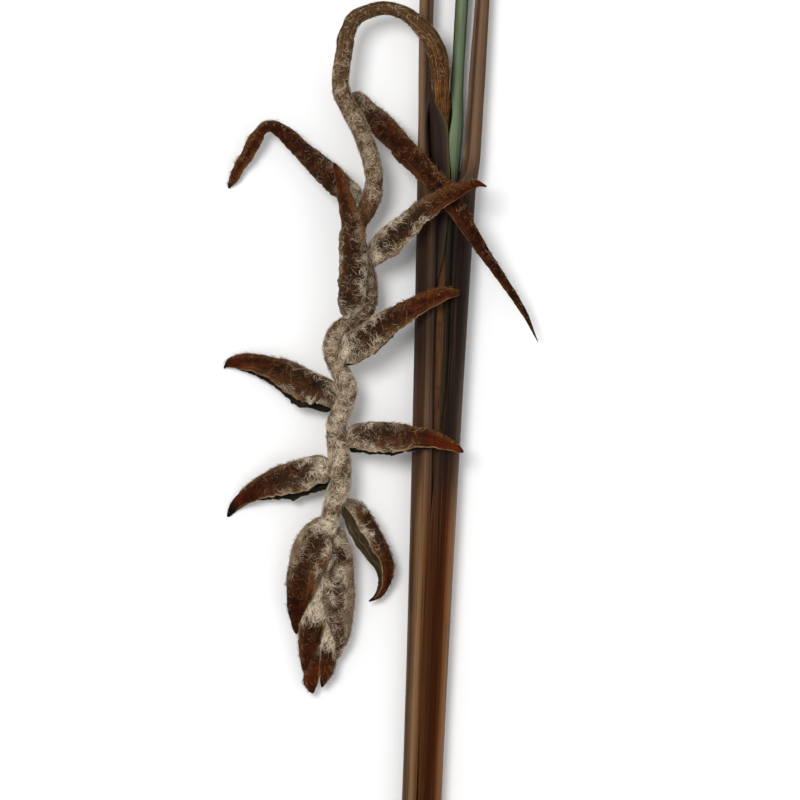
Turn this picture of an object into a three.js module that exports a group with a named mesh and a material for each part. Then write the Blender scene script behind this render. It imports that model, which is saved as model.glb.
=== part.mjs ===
// A cut, dried hanging heliconia, laid down on a flat surface.
// Millimetres. +Z is up and the surface is Z = 0. +Y runs along the stem towards the leaf stalks, and the
// flower head hangs back beside the stem towards -Y. The origin ends up under the middle of the whole piece.
import * as THREE from "three";

// ---- Driving dimensions ----
const clearance = 0.35; // free space between neighbouring pieces
const stemLength = 611; // from the lower cut up to where the leaf stalks part
const stemHalfWidthAtCut = 16.6;
const stemHalfWidthAtParting = 25;
const stemTaperPower = 1.8;
const stemDepthShare = 0.8; // depth over width of the lying stem
const partingDepthShare = 0.72;
const stemLean = 24.6; // sideways drift of the axis over the length of the stem
const stemLeanAtCut = -17.4;
const partingY = 178;
const leafStalkLength = 217; // above the parting
const sheathKeelShare = 0.21; // thickness of an outer sheath at its side, over the half width of the stem
const partingKeelShare = 0.5;
const sheathMarginShare = 0.1; // the same at its thin front and back margins
const flowerSheathWall = 1.6;
const greenSheathWall = 1.8;
const leafStalkHalfWidth = 6.6;
const flowerStalkRadius = 7.2;
const bractWall = 1.5;
const bractBaseGap = 1.4; // from the stalk to the base of a bract
const bractBaseRounding = 8; // length over which the blunt base of a bract rounds off

// ---- Small tools ----
const rad = THREE.MathUtils.degToRad;
const lerp = THREE.MathUtils.lerp;
const smoothstep = THREE.MathUtils.smoothstep;

// Smooth values between rows of numbers, where the first number of each row is the place it holds for.
function trackOf(rows) {
  const places = rows.map((row) => row[0]);
  const values = rows.flatMap((row) => row.slice(1));
  return new THREE.CubicInterpolant(places, values, rows[0].length - 1);
}

function valuesAt(track, place) {
  return Array.from(track.evaluate(place));
}

// Joins rings of equal point counts into one closed skin. Each end is a single point or a flat cap.
function loftOf(rings, capTriangles) {
  const positions = [];
  const indices = [];
  const starts = rings.map((ring) => {
    const start = positions.length / 3;
    ring.forEach((point) => positions.push(point.x, point.y, point.z));
    return start;
  });
  for (let i = 0; i + 1 < rings.length; i++) {
    const here = rings[i].length;
    const next = rings[i + 1].length;
    const count = Math.max(here, next);
    for (let j = 0; j < count; j++) {
      const a = starts[i] + (j % here);
      const b = starts[i] + ((j + 1) % here);
      const c = starts[i + 1] + ((j + 1) % next);
      const d = starts[i + 1] + (j % next);
      if (here > 1) indices.push(a, b, d);
      if (next > 1) indices.push(b, c, d);
    }
  }
  if (rings[0].length > 1) {
    capTriangles.forEach(([p, q, r]) => indices.push(starts[0] + p, starts[0] + r, starts[0] + q));
  }
  if (rings.at(-1).length > 1) {
    const last = starts.at(-1);
    capTriangles.forEach(([p, q, r]) => indices.push(last + p, last + q, last + r));
  }
  return facingOut(positions, indices);
}

// Turns the faces outwards, whichever way the rings ran.
function facingOut(positions, indices) {
  const at = (i) => new THREE.Vector3().fromArray(positions, 3 * i);
  let volume = 0;
  for (let i = 0; i < indices.length; i += 3) {
    volume += at(indices[i]).dot(at(indices[i + 1]).cross(at(indices[i + 2])));
  }
  if (volume < 0) indices.reverse();
  const geometry = new THREE.BufferGeometry();
  geometry.setAttribute("position", new THREE.Float32BufferAttribute(positions, 3));
  geometry.setIndex(indices);
  geometry.computeVertexNormals();
  return geometry;
}

// Flat caps: a curled section is closed between its outer and inner arcs, a round one as a fan.
function curledCap(arcPoints) {
  const triangles = [];
  const innerOf = (i) => 2 * arcPoints - 1 - i;
  for (let i = 0; i + 1 < arcPoints; i++) {
    triangles.push([i, i + 1, innerOf(i + 1)], [i, innerOf(i + 1), innerOf(i)]);
  }
  return triangles;
}

function roundCap(points) {
  const triangles = [];
  for (let i = 1; i + 1 < points; i++) triangles.push([0, i, i + 1]);
  return triangles;
}

const plant = new THREE.Group();

function addPiece(name, geometry, colour, roughness) {
  const material = new THREE.MeshStandardMaterial({ color: colour, roughness, metalness: 0 });
  const mesh = new THREE.Mesh(geometry, material);
  mesh.name = name;
  plant.add(mesh);
}

const colours = {
  brownSheath: 0x5c463e,
  greenSheath: 0x5f7a58,
  darkSheath: 0x3a2f2c,
  stalk: 0x82603c,
  bract: 0x5a321c,
  budBract: 0x4a2816,
};

// ---- The bundle of sheaths that makes the false stem ----
// An ellipse of the bundle has a middle (x, z) and two half axes (a across, b in depth).
function shareAlongStem(y) {
  return THREE.MathUtils.clamp((y - (partingY - stemLength)) / stemLength, 0, 1);
}

function stemOutline(y) {
  const share = shareAlongStem(y);
  const a = lerp(stemHalfWidthAtCut, stemHalfWidthAtParting, share ** stemTaperPower);
  const b = a * lerp(stemDepthShare, partingDepthShare, smoothstep(share, 0.8, 1));
  return { x: stemLeanAtCut + stemLean * share, z: b, a, b };
}

function stemCavity(y) {
  const outline = stemOutline(y);
  const opening = smoothstep(shareAlongStem(y), 0.75, 1);
  const margin = sheathMarginShare * outline.a;
  const a = outline.a * (1 - lerp(sheathKeelShare, partingKeelShare, opening));
  const b = lerp(outline.b - margin, a, opening);
  return { x: outline.x, z: outline.z + outline.b - margin - b, a, b };
}

function shrunk(ellipse, by) {
  return { ...ellipse, a: ellipse.a - by, b: ellipse.b - by };
}

const flowerSheathOutside = (y) => shrunk(stemCavity(y), clearance);
const flowerSheathInside = (y) => shrunk(flowerSheathOutside(y), flowerSheathWall);
const greenSheathOutside = (y) => shrunk(flowerSheathInside(y), clearance);
const greenSheathInside = (y) => shrunk(greenSheathOutside(y), greenSheathWall);
const stalkInStem = (y) => shrunk(greenSheathInside(y), 2 * clearance);
const stemTop = (y) => 2 * stemOutline(y).b;

const arcPoints = 10;

// One section of a curled sheath: an arc of the outer ellipse and back along an arc of the inner one.
// Angles run from +X over the top, in degrees.
function sheathRing(y, outer, inner, from, to) {
  const pointOf = (ellipse, i) => {
    const angle = rad(lerp(from, to, i / (arcPoints - 1)));
    return new THREE.Vector3(
      ellipse.x + ellipse.a * Math.cos(angle), y, ellipse.z + ellipse.b * Math.sin(angle));
  };
  const steps = [...Array(arcPoints).keys()];
  return [...steps.map((i) => pointOf(outer, i)), ...steps.reverse().map((i) => pointOf(inner, i))];
}

// Sections of the stem, closer together towards the parting, as shares of its length.
const stemShares = [0, 0.15, 0.3, 0.45, 0.55, 0.65, 0.72, 0.79, 0.85, 0.9, 0.94, 0.97];
const stemPlaces = stemShares.map((share) => partingY - stemLength * (1 - share));
const upperSteps = 10;

// A sheath follows the bundle up to the parting, then its own rows
// [y, x, z, a, b, inner x, inner z, inner a, inner b, from, to].
function sheathOf(outside, inside, wrapAt, upperRows) {
  const rings = stemPlaces.map((y) => sheathRing(y, outside(y), inside(y), ...wrapAt(y)));
  const outer = outside(partingY);
  const inner = inside(partingY);
  const joint = [partingY, outer.x, outer.z, outer.a, outer.b, inner.x, inner.z, inner.a, inner.b];
  const upper = trackOf([[...joint, ...wrapAt(partingY)], ...upperRows]);
  const topY = upperRows.at(-1)[0];
  for (let i = 0; i <= upperSteps; i++) {
    const y = lerp(partingY, topY, (i / upperSteps) ** 1.3);
    const [x, z, a, b, ix, iz, ia, ib, from, to] = valuesAt(upper, y);
    rings.push(sheathRing(y, { x, z, a, b }, { x: ix, z: iz, a: ia, b: ib }, from, to));
  }
  return loftOf(rings, curledCap(arcPoints));
}

// Where the sheaths begin and end around the bundle, as [share along the stem, angle].
const leftFrontMargin = trackOf([[0, 108], [0.4, 106], [0.57, 98], [0.72, 105], [0.9, 112], [1, 125]]);
const slitRightEdge = trackOf([[0, 100], [0.55, 100], [0.64, 84], [0.72, 70], [0.9, 67], [1, 60]]);
const flowerSheathMargin = trackOf([[0, 128], [0.78, 128], [0.85, 122], [0.89, 101], [0.94, 84], [1, 78]]);
const flowerSheathBack = trackOf([[0, 270], [0.79, 270], [0.9, 240], [1, 200]]);
const greenSheathStart = trackOf([[0, -160], [0.79, -160], [0.9, -150], [1, -128]]);
const marginGap = 1.6;
const leftBackMargin = 262;
const marginAt = (track, y) => valuesAt(track, shareAlongStem(y))[0];

const leafStalkTop = partingY + leafStalkLength;
const grooveShare = 0.45;
// The leaf stalks right of the flower stalk make room for it: their x just above the parting starts here.
const besideStalk = flowerStalkRadius + 0.35 * (stemHalfWidthAtParting - stemHalfWidthAtCut) - 2.94;

// A leaf stalk far above the parting: a round stalk with a groove on the side that faces the bundle.
function leafStalkRow(y, x, z, grooveSide, halfWidth = leafStalkHalfWidth) {
  const groove = grooveShare * halfWidth;
  const wrap = grooveSide > 0 ? [30, 330] : [-150, 150];
  return [y, x, z, halfWidth, halfWidth, x + 0.4 * grooveSide * halfWidth, z + 1, groove, groove, ...wrap];
}

addPiece("left_leaf_sheath", sheathOf(stemOutline, stemCavity,
  (y) => [marginAt(leftFrontMargin, y), leftBackMargin], [
    [205, -2.5, 17, 15, 13, -1, 19.5, 7.6, 9, 142, 262],
    [235, -9.3, 16.5, 7.4, 8, -6.5, 17.5, 3.6, 4, 110, 278],
    leafStalkRow(263, -10.8, 16.5, 1, 5.8),
    leafStalkRow(340, -9.1, 15.5, 1),
    leafStalkRow(leafStalkTop, -8, 14.5, 1),
  ]), colours.brownSheath, 0.6);

const rightFrontMargin = (y) =>
  Math.min(marginAt(slitRightEdge, y), marginAt(leftFrontMargin, y) - marginGap);

addPiece("right_leaf_sheath", sheathOf(stemOutline, stemCavity,
  (y) => [leftBackMargin + marginGap - 360, rightFrontMargin(y)], [
    [205, 20.4 + besideStalk, 17, 8.4, 10, 18.6 + besideStalk, 18, 3.6, 4.5, -100, 104],
    [219, 22 + besideStalk, 16.8, 7.8, 8.8, 19.9 + besideStalk, 17.8, 3.4, 4, -112, 150],
    [235, 23.3 + besideStalk, 16.5, 7.4, 7.8, 21 + besideStalk, 17.5, 3.2, 3.6, -122, 156],
    leafStalkRow(263, 32.3, 16.5, -1, 7.4),
    leafStalkRow(340, 37.4, 15.5, -1),
    leafStalkRow(leafStalkTop, 40.4, 14.5, -1),
  ]), colours.brownSheath, 0.6);

addPiece("green_leaf_sheath", sheathOf(greenSheathOutside, greenSheathInside,
  (y) => [marginAt(greenSheathStart, y), 80], [
  [190, 1.6 + besideStalk, 20.9, 9.4, 11.6, 1.4 + besideStalk, 21.1, 7.6, 9.8, -125, 70],
  [205, 1.6 + besideStalk, 20.2, 10.4, 13, 1.2 + besideStalk, 20.4, 8.4, 11.2, -122, 80],
  [235, 4.6 + besideStalk, 19.5, 10, 16, 4 + besideStalk, 20, 7.6, 14.2, -132, 100],
  [249, 6.6 + besideStalk, 18, 8, 12, 5.6 + besideStalk, 18.6, 5.2, 9.6, -142, 96],
  leafStalkRow(263, 15.6, 16.5, -1, 6.1),
  leafStalkRow(340, 20.1, 16, -1, 6),
  leafStalkRow(leafStalkTop, 23, 15.5, -1, 6),
]), colours.greenSheath, 0.5);

// ---- The flower stalk ----
// Its run above the parting as [x, y, z, radius over the usual radius].
const stalkRun = [
  [5.2, 200, 23.2, 1.08], [3.6, 225, 26, 1.05], [2.5, 250, 29.5, 1.03], [2.3, 275, 33, 1.08],
  [-1.7, 297, 35, 1.1], [-11, 313, 35.5, 1.02], [-23.8, 325, 36, 0.88], [-36.5, 331.5, 35.5, 0.82],
  [-49, 332, 35.5, 0.8], [-62, 329, 35.5, 0.84], [-73, 320.5, 35.5, 0.9], [-78.6, 305, 35.5, 0.97],
  [-80.5, 289, 36, 1], [-83, 270, 36, 0.97], [-80.6, 258, 36.5, 1], [-74, 245, 37, 1.02],
  [-66.3, 229.5, 37, 1], [-59.5, 212, 36, 0.97], [-54.6, 196, 34, 1], [-54.6, 181, 31.5, 1.05],
  [-57.6, 168.5, 29.5, 1.08], [-62.4, 158.5, 28.5, 1], [-67.6, 149.5, 28, 0.97], [-69, 137, 26.5, 0.95],
  [-63.4, 118, 26, 0.97],
  [-59, 98, 26, 1.02], [-59.8, 84, 27, 1.08], [-66, 71, 27, 1.04], [-78, 64, 27.5, 1],
  [-87.5, 55, 28, 1], [-90, 42, 28, 1.02], [-86, 29, 28, 1.02], [-79, 15, 28, 1.05],
  [-77.4, 4, 28, 1.05], [-82.6, -9, 28, 1.05], [-86.4, -21, 28, 1.08], [-86.7, -34, 28, 1.1],
  [-84.2, -47, 28, 1.13], [-82.5, -60, 28, 1.13], [-83.3, -72, 27.5, 1.13], [-87.6, -85, 27, 1.13],
  [-91, -96, 26, 0.9],
];
const stalkSides = 10;
const stalkSteps = 50;
const stalkEnd = new THREE.Vector3(-92, -101, 25.5);

function pathOf(points) {
  const vectors = points.map((point) => new THREE.Vector3(...point));
  return new THREE.CatmullRomCurve3(vectors, false, "centripetal");
}

// The two directions across a path: `side` is on the left of the direction of travel, seen from above.
function acrossOf(tangent) {
  const up = new THREE.Vector3(0, 0, 1).addScaledVector(tangent, -tangent.z).normalize();
  return { up, side: up.clone().cross(tangent) };
}

function roundRing(centre, tangent, a, b) {
  const { up, side } = acrossOf(tangent);
  return [...Array(stalkSides).keys()].map((i) => {
    const angle = 2 * Math.PI * i / stalkSides;
    return centre.clone().addScaledVector(side, a * Math.cos(angle)).addScaledVector(up, b * Math.sin(angle));
  });
}

const partingSection = stalkInStem(partingY);
const partingShare = partingSection.a / flowerStalkRadius;
const runRows = [[partingSection.x, partingY, partingSection.z, partingShare], ...stalkRun];
const runPath = pathOf(runRows.map((row) => row.slice(0, 3)));
const runRadius = trackOf(runRows.map((row, i) => [i / (runRows.length - 1), row[3] * flowerStalkRadius]));

function stalkGeometry() {
  const along = new THREE.Vector3(0, 1, 0);
  const rings = stemPlaces.map((y) => {
    const section = stalkInStem(y);
    return roundRing(new THREE.Vector3(section.x, y, section.z), along, section.a, section.b);
  });
  for (let i = 0; i <= stalkSteps; i++) {
    const share = i / stalkSteps;
    const radius = valuesAt(runRadius, share)[0];
    rings.push(roundRing(runPath.getPoint(share), runPath.getTangent(share), radius, radius));
  }
  rings.push([stalkEnd]);
  return loftOf(rings, roundCap(stalkSides));
}

addPiece("flower_stalk", stalkGeometry(), colours.stalk, 0.9);

// The flower sheath hugs the stalk above the parting and narrows to a point over its right side.
function flowerSheathRow(y, from, to) {
  const next = runRows.findIndex((row) => row[1] > y);
  const [before, after] = [runRows[next - 1], runRows[next]];
  const between = (y - before[1]) / (after[1] - before[1]);
  const [x, , z, radius] = before.map((value, i) => lerp(value, after[i], between));
  const inner = radius * flowerStalkRadius + 2 * clearance;
  const outer = inner + flowerSheathWall;
  return [y, x, z, outer, outer, x, z, inner, inner, from, to];
}

addPiece("flower_sheath", sheathOf(flowerSheathOutside, flowerSheathInside,
  (y) => [marginAt(flowerSheathMargin, y), marginAt(flowerSheathBack, y)], [
    flowerSheathRow(190, 66, 196),
    flowerSheathRow(203, 60, 194),
    flowerSheathRow(217, 60, 190),
    flowerSheathRow(232, 60, 186),
    flowerSheathRow(243, 84, 190),
    flowerSheathRow(256, 138, 196),
    flowerSheathRow(270, 168, 190),
  ]), colours.darkSheath, 0.55);

// ---- Bracts ----
// A bract is a leaf folded along its keel. Its section is a curled wall between two ellipses. `keel` is 1
// where the keel is on the left of the direction from base to tip, seen from above, and -1 where it is on
// the right. The front lip lies towards +Z and the back lip behind it, both as angles from the keel.
const bractArc = 8;
const bractSteps = 13;
const lipDefaults = { front: 128, back: 150, depthShare: 0.42, roll: 0 };

function stalkNear(x, y) {
  const target = new THREE.Vector2(x, y);
  const shares = [...Array(401).keys()].map((i) => i / 400);
  const distance = (share) => {
    const point = runPath.getPoint(share);
    return target.distanceTo(new THREE.Vector2(point.x, point.y));
  };
  const share = shares.reduce((best, next) => (distance(next) < distance(best) ? next : best));
  return { centre: runPath.getPoint(share), radius: valuesAt(runRadius, share)[0] };
}

// The base of a bract sits on the stalk, on the side that the bract leaves it.
function baseOnStalk(x, y, firstPoint) {
  const { centre, radius } = stalkNear(x, y);
  const away = new THREE.Vector3(...firstPoint).sub(centre).normalize();
  return centre.addScaledVector(away, radius + bractBaseGap).toArray();
}

function bractGeometry({ through, widths, depths, keel, ...options }) {
  const { front, back, depthShare, roll } = { ...lipDefaults, ...options };
  const path = pathOf(through);
  const evenly = (list) => trackOf(list.map((value, i) => [i / (list.length - 1), value]));
  const widthTrack = evenly(widths);
  const depthTrack = evenly(depths ?? widths.map((width) => depthShare * width));
  const length = path.getLength();
  const rings = [[path.getPointAt(0)]];
  for (let i = 1; i < bractSteps; i++) {
    const share = (i / bractSteps) ** 1.35;
    const fromRound = 1 - Math.min((share * length) / bractBaseRounding, 1);
    const rounding = Math.sqrt(1 - fromRound ** 2);
    const centre = path.getPointAt(share);
    const tangent = path.getTangentAt(share);
    const { up, side } = acrossOf(tangent);
    const turn = new THREE.Quaternion().setFromAxisAngle(tangent, rad(roll));
    const towardsKeel = side.multiplyScalar(keel).applyQuaternion(turn);
    const towardsFront = up.applyQuaternion(turn);
    const a = Math.max(rounding * valuesAt(widthTrack, share)[0], 0.8);
    const b = Math.max(rounding * valuesAt(depthTrack, share)[0], 0.7);
    const wall = Math.min(bractWall, 0.45 * a, 0.45 * b);
    const pointAt = (angle, inset) => centre.clone()
      .addScaledVector(towardsKeel, (a - inset) * Math.cos(angle))
      .addScaledVector(towardsFront, (b - inset) * Math.sin(angle));
    const angles = [...Array(bractArc).keys()].map((j) => rad(lerp(front, -back, j / (bractArc - 1))));
    const outside = angles.map((angle) => pointAt(angle, 0));
    const inside = angles.map((angle) => pointAt(angle, wall));
    rings.push([...outside, ...inside.reverse()]);
  }
  rings.push([path.getPointAt(1)]);
  return loftOf(rings, []);
}

const overStem = (y, lift) => stemTop(y) + clearance + lift;

// [stalk x, stalk y] is where the bract joins the stalk; `through` runs from near there to the tip.
const openBracts = {
  bract_01: {
    joins: [-81, 261], keel: 1, widths: [9, 12.8, 13, 11.2, 10, 7, 5, 3.4, 0],
    through: [[-72, 254, 23], [-57, 238, 21], [-40, 220, 29], [-25, 204, 38], [-10, 188.5, overStem(185, 6)],
      [10, 166, overStem(170, 5.2)], [29, 137, overStem(140, 3.2)], [49, 108, 32], [69, 80, 23],
      [85.5, 49, 15]],
  },
  bract_02: {
    joins: [-58, 168], keel: -1, widths: [8, 12, 13, 12.5, 11, 10.2, 9, 6, 7.2, 7, 6.4, 5.2, 0],
    through: [[-81, 177.5, 27], [-101, 195, 26.5], [-120, 212, 25], [-134.5, 227.5, 22],
      [-145.5, 231.6, 18.5], [-153, 222.6, 15.5], [-162, 207, 11.5], [-170.5, 194, 6.5], [-179.2, 181, 1.8]],
  },
  bract_03: {
    joins: [-70, 68], keel: -1, widths: [10, 13.4, 14.2, 13.8, 12.2, 9.8, 7.6, 5.6, 0], front: 140, back: 150,
    through: [[-76, 80, 43], [-75.5, 98, 45.5], [-74.6, 117, 46], [-75, 134, 46], [-76, 152, 46],
      [-79.5, 169, 46], [-83, 186, 45.5], [-88.4, 201, 44]],
  },
  bract_04: {
    joins: [-60, 112], keel: 1, widths: [9, 14.8, 15, 13.4, 12, 10.8, 8, 5.8, 0],
    through: [[-45, 126.5, 35], [-33, 137.5, 40], [-20, 149.5, 46], [-6, 161, overStem(161, 15.6)],
      [9, 171, overStem(171, 16)], [25, 179.5, overStem(178, 16)], [40.8, 184, overStem(178, 15)]],
  },
  bract_05: {
    joins: [-90, 37], keel: 1, widths: [13, 15.6, 15.6, 14, 12, 10.2, 8.6, 6.4, 0],
    through: [[-74.7, 39, 36], [-61.4, 46.5, 38], [-49, 57, 40], [-35.7, 66.4, 41],
      [-22, 74.7, overStem(75, 5.5)], [-8, 82.4, overStem(82, 5)], [6.7, 88.7, overStem(88, 4.6)],
      [20.4, 91, overStem(91, 4)]],
  },
  bract_06: {
    joins: [-79, 2], keel: -1, widths: [14, 16.4, 16.8, 15.6, 13.6, 11.6, 9.8, 6.8, 0],
    through: [[-94, 2.4, 26], [-107, 6, 23], [-120, 12.5, 19.5], [-133, 19.5, 16], [-147, 25.5, 12],
      [-161, 29.6, 8.5], [-174, 31, 4.2], [-185.8, 31, 1.2]],
  },
  bract_07: {
    joins: [-86, -33], keel: 1, widths: [13, 14.8, 15.2, 15, 13.2, 10.8, 8.4, 5.6, 0],
    through: [[-72, -34, 30], [-59, -34.6, 32.5], [-45, -35, 36], [-31, -34.7, 39],
      [-17, -34.6, overStem(-34, 5.5)], [-3.6, -36, overStem(-36, 5)], [9.6, -39.2, overStem(-39, 4.2)],
      [21.8, -44.2, overStem(-44, 3)]],
  },
  bract_08: {
    joins: [-83, -64], keel: -1, widths: [14, 16.4, 16.6, 16.2, 14, 10.8, 8, 5.4, 0],
    through: [[-99, -62.5, 25], [-108, -65, 22.5], [-121, -69.8, 19], [-134.7, -72.5, 15],
      [-148, -76.5, 11.5], [-160, -82.6, 8], [-171.8, -90.7, 3.9], [-180.2, -100, 1.3]],
  },
  bract_09: {
    joins: [-85, -80], keel: 1, widths: [7, 11.5, 13.4, 13.6, 12, 10.2, 7.6, 5, 0],
    front: 110, back: 150, roll: -20,
    through: [[-71, -97.5, 28.5], [-62.6, -114, 26], [-55, -125.5, 23], [-49, -137, 19.5],
      [-46.3, -149.5, 16], [-48.8, -162, 12.5], [-54.6, -172.4, 9]],
  },
};

for (const [name, { joins, through, ...shape }] of Object.entries(openBracts)) {
  const base = baseOnStalk(...joins, through[0]);
  addPiece(name, bractGeometry({ through: [base, ...through], ...shape }), colours.bract, 0.95);
}

// The bracts of the end bud sit one inside the other, with their keels left and right in turn.
const budBracts = {
  bract_10: {
    keel: -1, widths: [12, 17.4, 19, 18, 15.8, 12, 7.4, 0], depths: [8, 11.5, 13.6, 14.5, 13.6, 11.2, 7, 0],
    front: 125, back: 112,
    through: [[-94, -103.5, 24], [-101, -123, 20], [-108, -140, 16.3], [-113, -156, 14.2], [-119, -178, 12.6],
      [-121, -200, 10]],
  },
  bract_11: {
    keel: 1, widths: [7, 10, 12.4, 14.2, 14.5, 11, 6.6, 0], depths: [5, 7.6, 9.8, 11.5, 11.5, 9.5, 6, 0],
    front: 140, back: 122,
    through: [[-88, -110, 22], [-84.5, -130, 19], [-85.5, -150, 16.5], [-86, -175, 14.5], [-84, -195, 13],
      [-84.5, -210, 12.5], [-86, -221, 12]],
  },
  bract_12: {
    keel: -1, widths: [4, 6.4, 8.4, 10.4, 11.5, 10.5, 7, 0], depths: [3.2, 4.6, 6, 7.6, 8.5, 8, 5.5, 0],
    front: 128, back: 125,
    through: [[-89.5, -126, 18.5], [-93, -142, 17], [-98.2, -160, 15.2], [-102.6, -180, 13.7], [-107, -200, 13],
      [-110.5, -216, 12], [-114.5, -233, 11]],
  },
  bract_13: {
    keel: 1, widths: [3, 4, 5, 6.4, 7.3, 6, 0], depths: [2.4, 3.2, 4.2, 5.2, 6, 5, 0],
    front: 128, back: 120,
    through: [[-89, -158, 13], [-90.5, -175, 13], [-93, -192, 13], [-94.5, -210, 12.5], [-94.5, -225, 12],
      [-99, -245.6, 11]],
  },
  bract_14: {
    keel: -1, widths: [0, 3.4, 5, 7.4, 6.8, 0], depths: [0, 2.4, 3.2, 4.6, 4.5, 0],
    through: [[-102.5, -210, 12.3], [-104, -224, 12], [-107, -238, 11], [-107, -250.7, 10]],
  },
};

for (const [name, shape] of Object.entries(budBracts)) {
  addPiece(name, bractGeometry(shape), colours.budBract, 0.95);
}

// The origin lies on the surface, under the middle of the whole piece.
const box = new THREE.Box3().setFromObject(plant);
const middle = box.getCenter(new THREE.Vector3());
plant.position.set(-middle.x, -middle.y, -box.min.z);

export default plant;
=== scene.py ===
"""The looks of a cut, dried, woolly hanging heliconia that lies on a plain pale floor.

Every piece is rebuilt from the rings of its CAD solid at a finer pitch, with its veins, furrows, ragged
lips and hair as real geometry. Lengths are in metres. Noise works on places in millimetres.
"""

import math

import bpy
import numpy as np
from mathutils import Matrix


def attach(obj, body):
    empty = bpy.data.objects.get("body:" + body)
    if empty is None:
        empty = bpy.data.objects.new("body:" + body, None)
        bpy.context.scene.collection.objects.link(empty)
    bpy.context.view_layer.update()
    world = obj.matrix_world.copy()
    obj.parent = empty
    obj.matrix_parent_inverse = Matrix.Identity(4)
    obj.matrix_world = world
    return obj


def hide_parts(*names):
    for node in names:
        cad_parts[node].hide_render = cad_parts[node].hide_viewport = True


MM = 0.001
LEAST_HEIGHT = 0.05 * MM  # bracts and hairs stay at least this far above the floor
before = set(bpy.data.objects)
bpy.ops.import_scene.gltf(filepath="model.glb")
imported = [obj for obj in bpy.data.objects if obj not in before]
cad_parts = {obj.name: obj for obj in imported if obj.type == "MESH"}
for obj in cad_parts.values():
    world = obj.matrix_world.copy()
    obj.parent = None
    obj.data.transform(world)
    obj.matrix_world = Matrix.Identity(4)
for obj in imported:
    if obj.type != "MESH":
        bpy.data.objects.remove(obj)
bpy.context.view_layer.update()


# ---- Smooth repeatable noise ----
def lattice(cells, seed):
    """A repeatable number from 0 to 1 for each whole-number cell. The large numbers stir its bits."""
    c = cells.astype(np.uint32)
    h = c[..., 0] * np.uint32(374761393) + c[..., 1] * np.uint32(668265263)
    h = h + c[..., 2] * np.uint32(1440662683) + np.uint32(seed * 97471 + 13)
    h = (h ^ (h >> np.uint32(13))) * np.uint32(1274126177)
    h = (h ^ (h >> np.uint32(15))) * np.uint32(2246822519)
    return (h ^ (h >> np.uint32(16))).astype(float) / 2**32


def noise(points, size, seed=0, octaves=3):
    """Smooth noise from about -1 to 1, with features about `size` across."""
    total, weight = 0.0, 0.0
    for octave in range(octaves):
        place = points / (np.asarray(size) / 2**octave) + 500.0
        cell = np.floor(place).astype(np.int64)
        f = place - cell
        f = f * f * (3 - 2 * f)
        value = 0.0
        for corner in range(8):
            step = np.array([corner & 1, corner >> 1 & 1, corner >> 2 & 1])
            share = np.prod(np.where(step == 1, f, 1 - f), axis=-1)
            value = value + share * lattice(cell + step, seed + 17 * octave)
        total = total + value * 0.5**octave
        weight += 0.5**octave
    return 2.4 * (total / weight - 0.5)


def smooth(low, high, value):
    """Rises gently from 0 at `low` to 1 at `high`, or falls where `low` is the greater."""
    t = np.clip((value - low) / (high - low), 0, 1)
    return t * t * (3 - 2 * t)


# ---- Rings of the CAD solids ----
def skeleton(node):
    """A CAD node's corners, and for each one the corners it shares an edge with."""
    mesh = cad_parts[node].data
    places = np.empty(3 * len(mesh.vertices))
    mesh.vertices.foreach_get("co", places)
    mesh.calc_loop_triangles()
    triangles = np.empty(3 * len(mesh.loop_triangles), int)
    mesh.loop_triangles.foreach_get("vertices", triangles)
    corners, which = np.unique(
        np.round(places.reshape(-1, 3), 6), axis=0, return_inverse=True
    )
    near = [set() for _ in corners]
    for a, b, c in which.reshape(-1)[triangles].reshape(-1, 3):
        near[a] |= {b, c}
        near[b] |= {a, c}
        near[c] |= {a, b}
    return corners, near


def layers_from(start, near):
    """The corners in layers, each one edge further from the start."""
    layers, seen = [sorted(start)], set(start)
    while True:
        following = set().union(*(near[i] for i in layers[-1])) - seen
        if not following:
            return layers
        layers.append(sorted(following))
        seen |= following


def cycled(members, near):
    """The members of one ring in order round it."""
    inside, order = set(members), [members[0]]
    while len(order) < len(members):
        order.append(next(i for i in near[order[-1]] if i in inside and i not in order))
    return order


def centred(ring):
    """The ring moved to the origin and brought to one size."""
    flat = ring - ring.mean(0)
    return flat / max(np.sqrt((flat**2).sum(1).mean()), 1e-9)


def aligned(ring, guide):
    """The ring started and turned so that it runs like its neighbour."""
    options = [
        np.roll(way, k, axis=0) for way in (ring, ring[::-1]) for k in range(len(ring))
    ]
    return min(options, key=lambda o: ((centred(o) - centred(guide)) ** 2).sum())


def matched(points, guide):
    """The points of an end cap, in the order of the neighbouring ring."""
    a, b = guide - guide.mean(0), points - points.mean(0)
    cost = ((a[:, None] - b[None]) ** 2).sum(-1)
    out = np.empty_like(guide)
    for _ in range(len(guide)):
        i, j = np.unravel_index(np.argmin(cost), cost.shape)
        out[i] = points[j]
        cost[i, :] = cost[:, j] = np.inf
    return out


def chained(rings, guide_index):
    """All rings, each aligned to its neighbour, outwards from one of them."""
    out = list(rings)
    for i in range(guide_index + 1, len(out)):
        out[i] = aligned(out[i], out[i - 1])
    for i in range(guide_index - 1, -1, -1):
        out[i] = aligned(out[i], out[i + 1])
    return out


def path_length(points):
    return np.linalg.norm(np.diff(points, axis=0), axis=1).sum()


def from_first_margin(ring):
    """The ring of a curled section, started at one margin: its outer arc first, then its inner one."""
    n = len(ring) // 2
    edge = np.linalg.norm(np.roll(ring, -1, axis=0) - ring, axis=1)
    k = min(range(n), key=lambda k: edge[(k + n - 1) % (2 * n)] + edge[(k - 1) % (2 * n)])
    ring = np.roll(ring, -k, axis=0)
    return ring if path_length(ring[:n]) > path_length(ring[n:]) else np.roll(ring, n, axis=0)


def turned(ring):
    """A curled section's ring, started at its other margin."""
    n = len(ring) // 2
    return np.concatenate([ring[:n][::-1], ring[n:][::-1]])


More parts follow.
